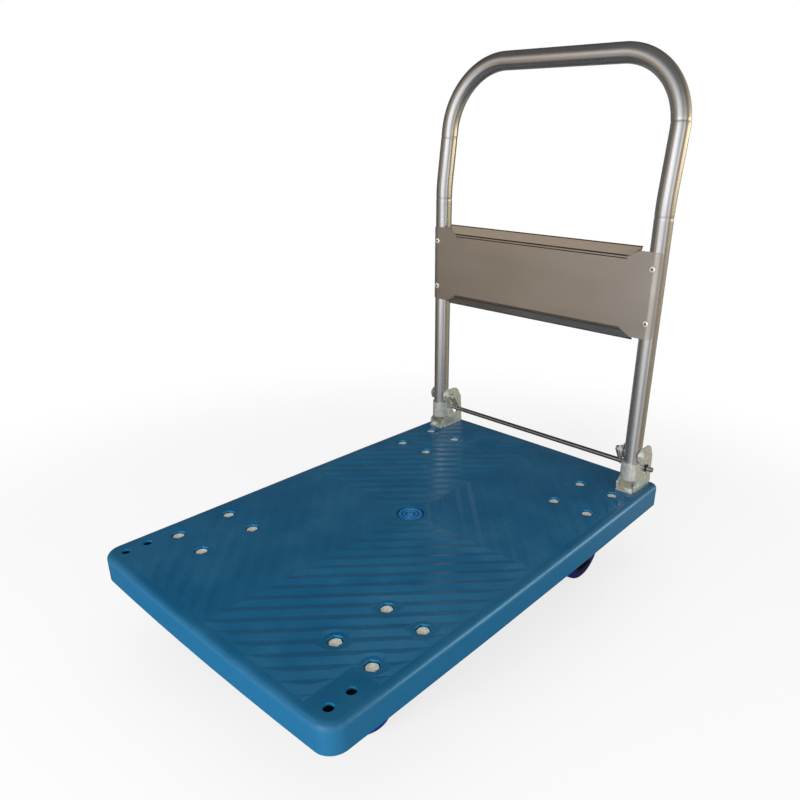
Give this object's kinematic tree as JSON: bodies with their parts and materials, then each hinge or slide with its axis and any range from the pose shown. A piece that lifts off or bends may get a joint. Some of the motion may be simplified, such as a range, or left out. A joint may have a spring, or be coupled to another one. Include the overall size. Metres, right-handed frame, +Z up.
{
  "type": "folding platform cart",
  "caption": "Flat moulded deck on fixed and swivel casters, with a bent tube handle that folds forward over the deck to store or carry the cart.",
  "frame": {"origin": "on the floor, under the middle of the deck", "axes": "+Z up, +Y towards the handle, +X to the right seen from the free end"},
  "size_m": [0.48, 0.7198, 0.8056],
  "materials": {
    "deck_plastic": "satin moulded polypropylene, blue",
    "plug_plastic": "satin moulded plastic, lighter blue",
    "tube_steel": "satin silver coated steel tube",
    "panel_steel": "satin grey-brown sheet steel",
    "zinc_steel": "zinc plated steel",
    "bright_steel": "bright drawn steel",
    "black_steel": "blackened spring steel",
    "tyre_rubber": "soft blue-violet tread",
    "core_plastic": "black moulded plastic",
    "bearing_plastic": "natural nylon"
  },
  "bodies": {
    "deck": {"deck_shell": "deck_plastic", "centre_plug": "plug_plastic", "caster_bolts": "zinc_steel", "caster_washers": "zinc_steel", "caster_nuts": "zinc_steel", "bracket_bolts": "zinc_steel", "bracket_washers": "zinc_steel", "bracket_nuts": "zinc_steel", "pivot_nuts": "zinc_steel", "bracket_left": "zinc_steel", "pivot_bolt_left": "zinc_steel", "rod_spring_left": "bright_steel", "fixed_fork_left": "zinc_steel", "fixed_axle_left": "bright_steel", "fixed_axle_nut_left": "bright_steel", "swivel_plate_left": "zinc_steel", "swivel_balls_left": "bright_steel", "kingpin_left": "bright_steel", "bracket_right": "zinc_steel", "pivot_bolt_right": "zinc_steel", "rod_spring_right": "bright_steel", "fixed_fork_right": "zinc_steel", "fixed_axle_right": "bright_steel", "fixed_axle_nut_right": "bright_steel", "swivel_plate_right": "zinc_steel", "swivel_balls_right": "bright_steel", "kingpin_right": "bright_steel"},
    "handle": {"handle_tube": "tube_steel", "handle_panel": "panel_steel", "panel_screws": "zinc_steel", "pivot_sleeve_left": "bright_steel", "leg_cam_left": "bearing_plastic", "pivot_sleeve_right": "bright_steel", "leg_cam_right": "bearing_plastic"},
    "release_rod": {"release_rod": "bright_steel", "rod_clips": "black_steel"},
    "swivel_left": {"swivel_fork_left": "zinc_steel", "swivel_axle_left": "bright_steel", "swivel_axle_nut_left": "bright_steel"},
    "front_wheel_left": {"front_tyre_left": "tyre_rubber", "front_wheel_core_left": "core_plastic", "front_wheel_bush_left": "bearing_plastic"},
    "rear_wheel_left": {"rear_tyre_left": "tyre_rubber", "rear_wheel_core_left": "core_plastic", "rear_wheel_bush_left": "bearing_plastic"},
    "swivel_right": {"swivel_fork_right": "zinc_steel", "swivel_axle_right": "bright_steel", "swivel_axle_nut_right": "bright_steel"},
    "front_wheel_right": {"front_tyre_right": "tyre_rubber", "front_wheel_core_right": "core_plastic", "front_wheel_bush_right": "bearing_plastic"},
    "rear_wheel_right": {"rear_tyre_right": "tyre_rubber", "rear_wheel_core_right": "core_plastic", "rear_wheel_bush_right": "bearing_plastic"}
  },
  "joints": [
    {"name": "handle_fold", "type": "hinge", "parent": "deck", "child": "handle", "pos_m": [0, 0.304, 0.211], "axis": [1, 0, 0], "range_deg": [0, 90]},
    {"name": "rod_release", "type": "slide", "parent": "deck", "child": "release_rod", "axis": [0, 0.534, -0.8455], "range_m": [0, 0.0122], "stiffness_N_per_m": 3000, "springref_m": -0.006, "deforming": ["rod_spring_left", "rod_spring_right"]},
    {"name": "swivel_turn_left", "type": "hinge", "parent": "deck", "child": "swivel_left", "pos_m": [-0.169, -0.225, 0.1], "axis": [0, 0, 1], "continuous": true},
    {"name": "front_wheel_roll_left", "type": "hinge", "parent": "swivel_left", "child": "front_wheel_left", "pos_m": [-0.18013, -0.25924, 0.05], "axis": [-0.9511, 0.309, 0], "continuous": true},
    {"name": "rear_wheel_roll_left", "type": "hinge", "parent": "deck", "child": "rear_wheel_left", "pos_m": [-0.169, 0.225, 0.05], "axis": [1, 0, 0], "continuous": true},
    {"name": "swivel_turn_right", "type": "hinge", "parent": "deck", "child": "swivel_right", "pos_m": [0.169, -0.225, 0.1], "axis": [0, 0, 1], "continuous": true},
    {"name": "front_wheel_roll_right", "type": "hinge", "parent": "swivel_right", "child": "front_wheel_right", "pos_m": [0.14142, -0.24814, 0.05], "axis": [-0.6428, 0.766, 0], "continuous": true},
    {"name": "rear_wheel_roll_right", "type": "hinge", "parent": "deck", "child": "rear_wheel_right", "pos_m": [0.169, 0.225, 0.05], "axis": [1, 0, 0], "continuous": true}
  ],
  "couplings": [
    {"joint": "rod_release", "follows": "handle_fold", "m_per_rad": 0.0076394}
  ]
}
